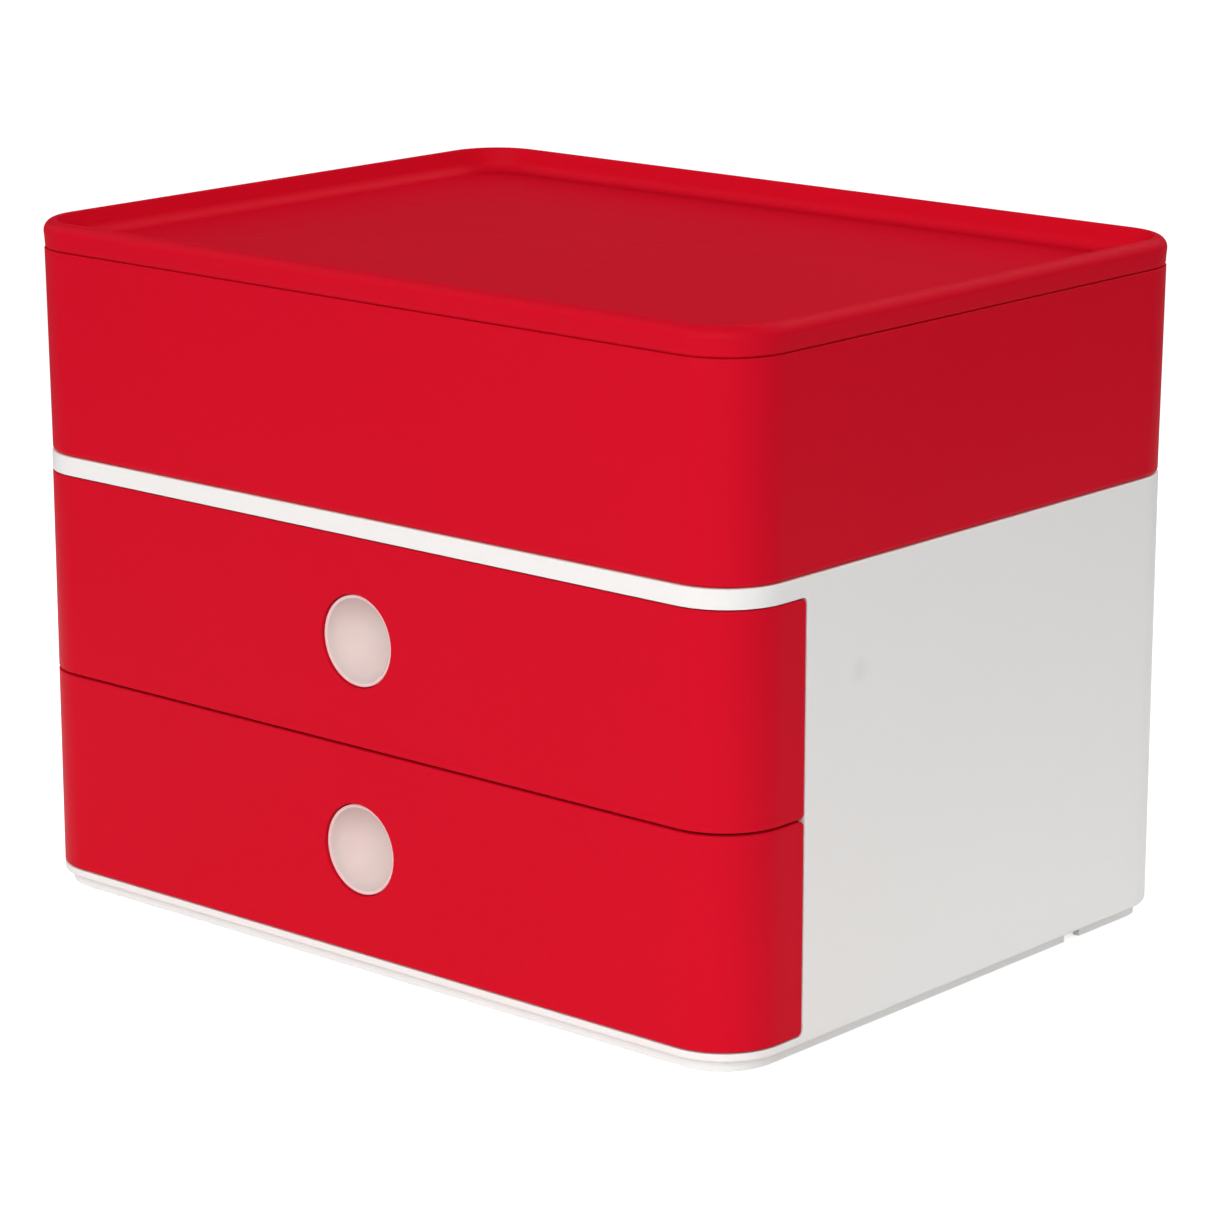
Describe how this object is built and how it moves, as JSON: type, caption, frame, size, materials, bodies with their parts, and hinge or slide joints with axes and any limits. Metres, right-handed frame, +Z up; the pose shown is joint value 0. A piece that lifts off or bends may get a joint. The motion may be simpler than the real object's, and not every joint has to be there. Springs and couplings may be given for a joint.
{
  "type": "desk drawer box",
  "caption": "Desktop drawer box: a rounded housing with sliding drawers under a removable storage box closed by a tray lid.",
  "frame": {"origin": "centre of the bounding box on the surface the feet stand on", "axes": "+X to the right seen from the front, -Y out of the drawer fronts, +Z up"},
  "size_m": [0.26, 0.195, 0.1914],
  "materials": {
    "red_plastic": "satin, injection moulded",
    "white_plastic": "satin, injection moulded",
    "grip_plastic": "milky, slightly translucent",
    "divider_plastic": "fine matt",
    "foot_rubber": "matt, soft"
  },
  "bodies": {
    "housing": {"housing": "white_plastic", "front_left_foot": "foot_rubber", "front_right_foot": "foot_rubber", "rear_left_foot": "foot_rubber", "rear_right_foot": "foot_rubber"},
    "upper_drawer": {"upper_drawer": "red_plastic", "upper_drawer_grip": "grip_plastic", "upper_drawer_long_divider": "divider_plastic", "upper_drawer_left_divider": "divider_plastic", "upper_drawer_right_divider": "divider_plastic"},
    "lower_drawer": {"lower_drawer": "red_plastic", "lower_drawer_grip": "grip_plastic", "lower_drawer_long_divider": "divider_plastic", "lower_drawer_left_divider": "divider_plastic", "lower_drawer_right_divider": "divider_plastic"},
    "storage_box": {"storage_box": "red_plastic", "storage_box_long_divider": "divider_plastic", "storage_box_left_divider": "divider_plastic", "storage_box_right_divider": "divider_plastic"},
    "tray_lid": {"tray_lid": "red_plastic"}
  },
  "joints": [
    {"name": "upper_drawer_slide", "type": "slide", "parent": "housing", "child": "upper_drawer", "axis": [0, -1, 0], "range_m": [0, 0.128]},
    {"name": "lower_drawer_slide", "type": "slide", "parent": "housing", "child": "lower_drawer", "axis": [0, -1, 0], "range_m": [0, 0.128]},
    {"name": "storage_box_lift", "type": "slide", "parent": "housing", "child": "storage_box", "axis": [0, 0, 1], "range_m": [0, 0.12]},
    {"name": "tray_lid_lift", "type": "slide", "parent": "storage_box", "child": "tray_lid", "axis": [0, 0, 1], "range_m": [0, 0.08]}
  ]
}
